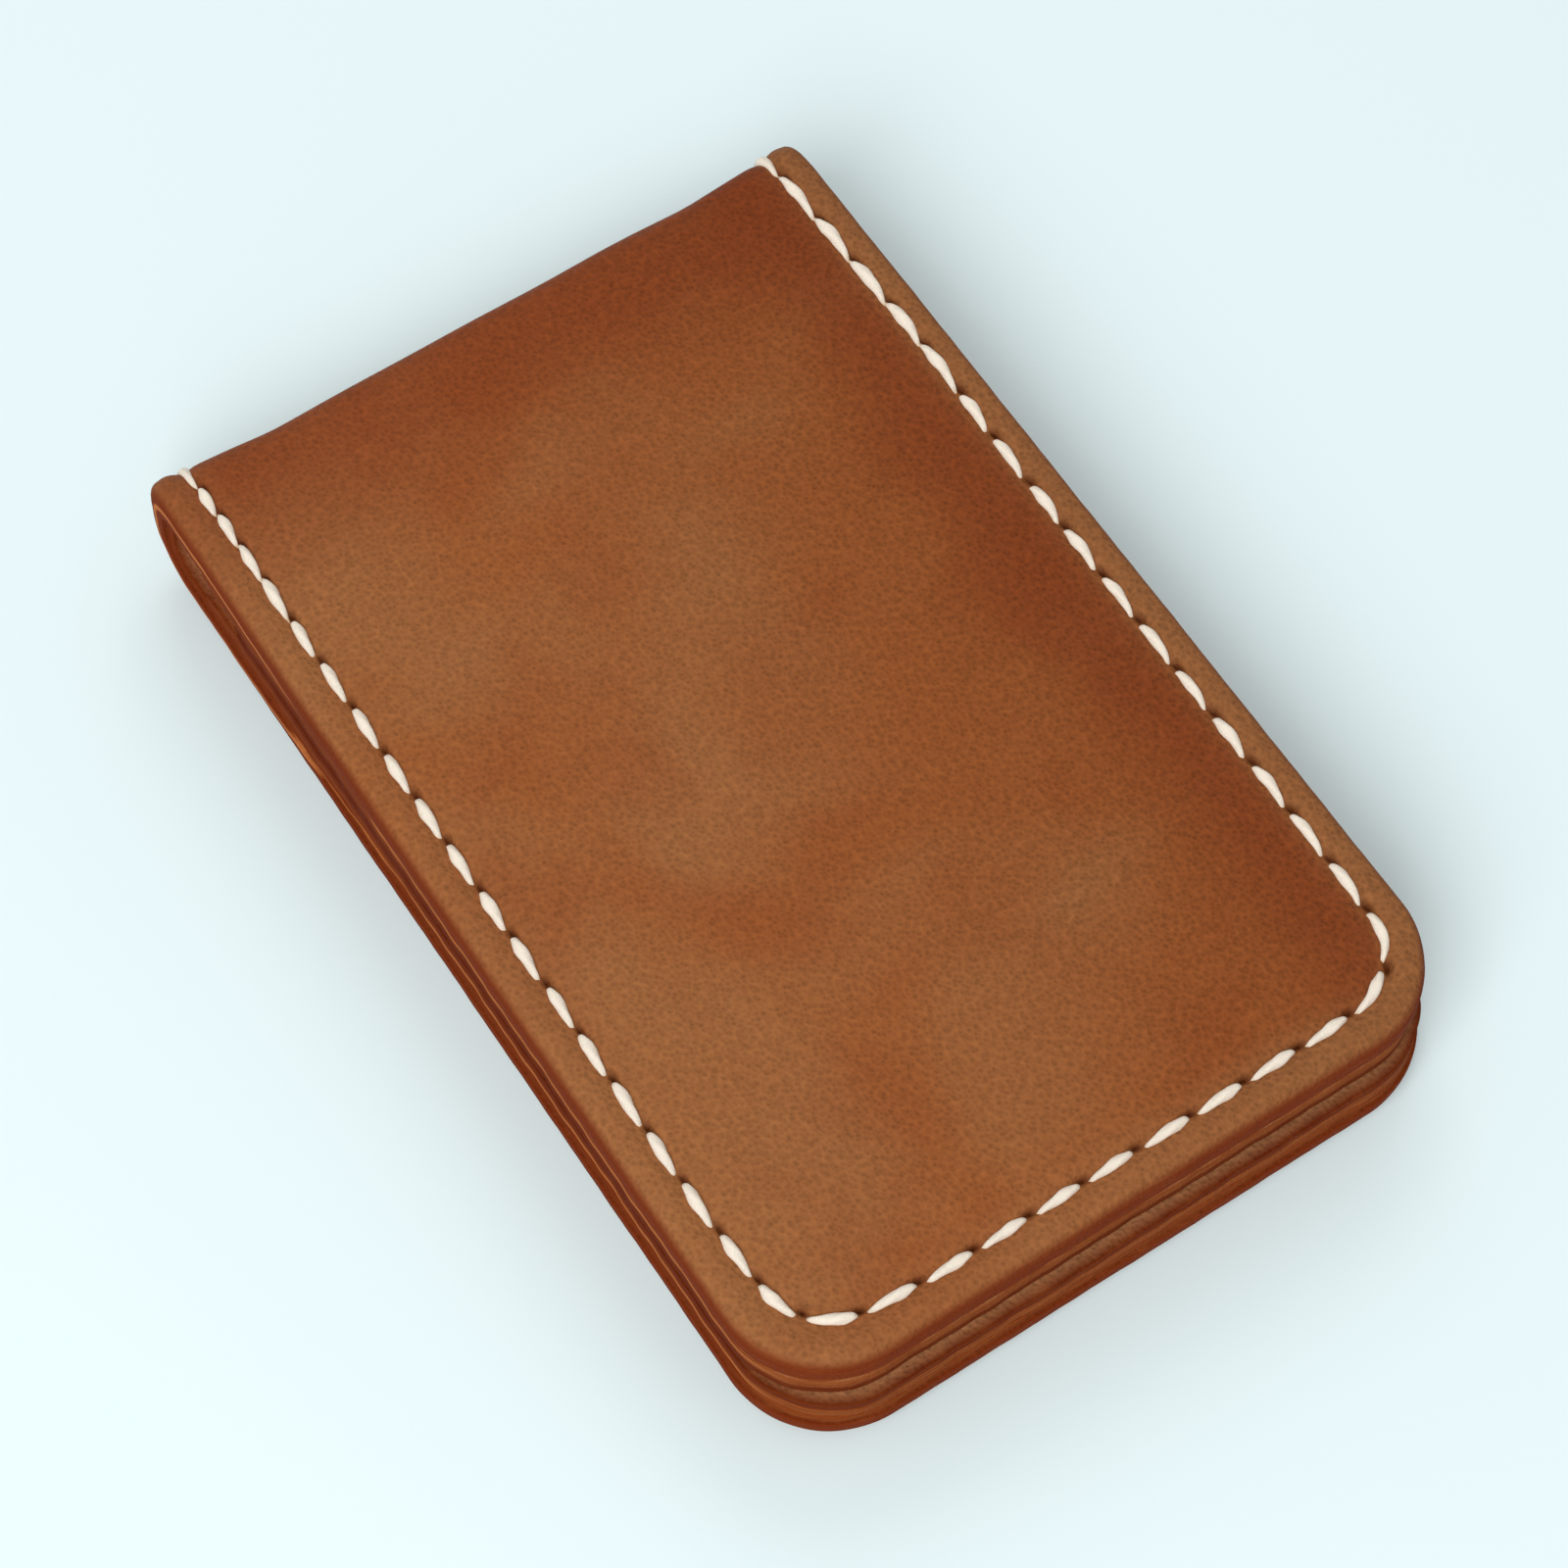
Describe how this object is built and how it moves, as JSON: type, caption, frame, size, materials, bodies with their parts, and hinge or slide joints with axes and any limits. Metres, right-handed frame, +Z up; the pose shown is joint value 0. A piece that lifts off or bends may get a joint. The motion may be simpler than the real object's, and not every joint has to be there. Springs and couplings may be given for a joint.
{
  "type": "business card case",
  "caption": "Slim bifold business card case in saddle-stitched leather that folds open flat at a rounded spine, with card pockets inside both halves.",
  "frame": {"origin": "on the resting plane, under the middle of the closed case's bounding box", "axes": "+Z up out of the front half, +Y along the case towards the folded spine, +X across the case"},
  "size_m": [0.066, 0.1014, 0.013],
  "materials": {
    "cover_leather": "smooth vegetable-tanned tan leather, satin, with dark burnished edges",
    "lining_leather": "thin matte tan leather",
    "pocket_leather": "thin matte tan leather",
    "waxed_thread": "thick cream waxed twisted thread"
  },
  "bodies": {
    "back": {"back_cover": "cover_leather", "back_lining": "lining_leather", "back_card_pocket": "pocket_leather", "back_short_pocket": "pocket_leather", "back_outer_stitches": "waxed_thread", "back_inner_stitches": "waxed_thread"},
    "fold_1": {"fold_1_cover": "cover_leather", "fold_1_lining": "lining_leather", "fold_1_left_outer_stitch": "waxed_thread", "fold_1_left_inner_stitch": "waxed_thread", "fold_1_right_outer_stitch": "waxed_thread", "fold_1_right_inner_stitch": "waxed_thread"},
    "fold_2": {"fold_2_cover": "cover_leather", "fold_2_lining": "lining_leather", "fold_2_left_outer_stitch": "waxed_thread", "fold_2_left_inner_stitch": "waxed_thread", "fold_2_right_outer_stitch": "waxed_thread", "fold_2_right_inner_stitch": "waxed_thread"},
    "fold_3": {"fold_3_cover": "cover_leather", "fold_3_lining": "lining_leather", "fold_3_left_outer_stitch": "waxed_thread", "fold_3_left_inner_stitch": "waxed_thread", "fold_3_right_outer_stitch": "waxed_thread", "fold_3_right_inner_stitch": "waxed_thread"},
    "front": {"front_cover": "cover_leather", "front_lining": "lining_leather", "front_card_pocket": "pocket_leather", "front_short_pocket": "pocket_leather", "front_outer_stitches": "waxed_thread", "front_inner_stitches": "waxed_thread"}
  },
  "joints": [
    {"name": "fold_hinge_1", "type": "hinge", "parent": "back", "child": "fold_1", "pos_m": [0, 0.04669, 0.00049], "axis": [-1, 0, 0], "range_deg": [0, 45]},
    {"name": "fold_hinge_2", "type": "hinge", "parent": "fold_1", "child": "fold_2", "pos_m": [0, 0.05021, 0.00401], "axis": [-1, 0, 0], "range_deg": [0, 45]},
    {"name": "fold_hinge_3", "type": "hinge", "parent": "fold_2", "child": "fold_3", "pos_m": [0, 0.05021, 0.00899], "axis": [-1, 0, 0], "range_deg": [0, 45]},
    {"name": "fold_hinge_4", "type": "hinge", "parent": "fold_3", "child": "front", "pos_m": [0, 0.04669, 0.01251], "axis": [-1, 0, 0], "range_deg": [0, 45]}
  ],
  "couplings": [
    {"joint": "fold_hinge_2", "follows": "fold_hinge_1", "ratio": 1},
    {"joint": "fold_hinge_3", "follows": "fold_hinge_1", "ratio": 1},
    {"joint": "fold_hinge_4", "follows": "fold_hinge_1", "ratio": 1}
  ]
}
